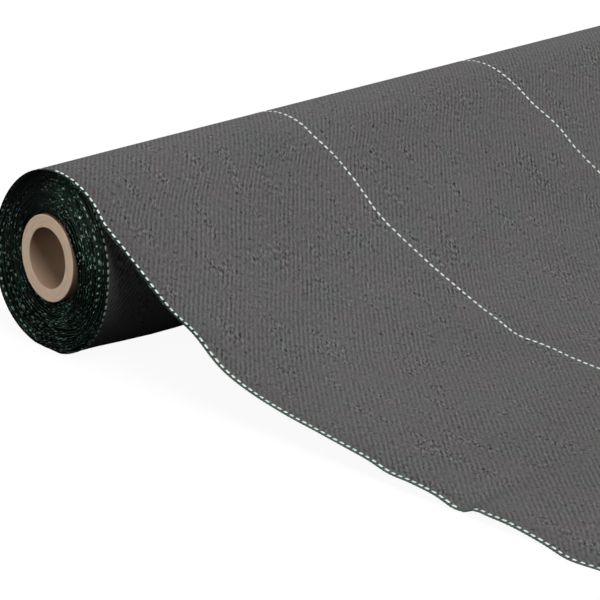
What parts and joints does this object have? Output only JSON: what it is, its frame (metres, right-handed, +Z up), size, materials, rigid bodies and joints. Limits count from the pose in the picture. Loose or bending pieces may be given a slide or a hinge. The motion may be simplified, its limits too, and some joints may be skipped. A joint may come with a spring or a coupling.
{
  "type": "roll of weed control fabric",
  "caption": "Woven weed control fabric wound on a cardboard tube, its loose end run down off the roll and out over the floor, with pale dashed marker yarns along it.",
  "frame": {"origin": "on the floor under the middle of the roll, on the flat of the outermost turn that rests there", "axes": "+X is the way the fabric is unrolled, +Y runs along the tube from the near end to the far end, +Z is up"},
  "size_m": [0.6715, 1.0214, 0.1474],
  "materials": {
    "woven_fabric": "matt woven tape, dark grey",
    "marker_yarn": "pale green-white yarn",
    "cardboard": "spiral-wound paper board",
    "tape": "double-sided paper tape"
  },
  "bodies": {
    "sheet": {"loose_sheet": "woven_fabric", "near_edge_yarn": "marker_yarn", "far_edge_yarn": "marker_yarn", "guide_yarn_1": "marker_yarn", "guide_yarn_2": "marker_yarn", "guide_yarn_3": "marker_yarn"},
    "roll": {"wound_fabric": "woven_fabric", "core_tube": "cardboard", "start_tape": "tape"}
  },
  "joints": [
    {"name": "roll_turn", "type": "hinge", "parent": "sheet", "child": "roll", "pos_m": [0.0045, 0, 0.07946], "axis": [0, 1, 0], "continuous": true}
  ]
}
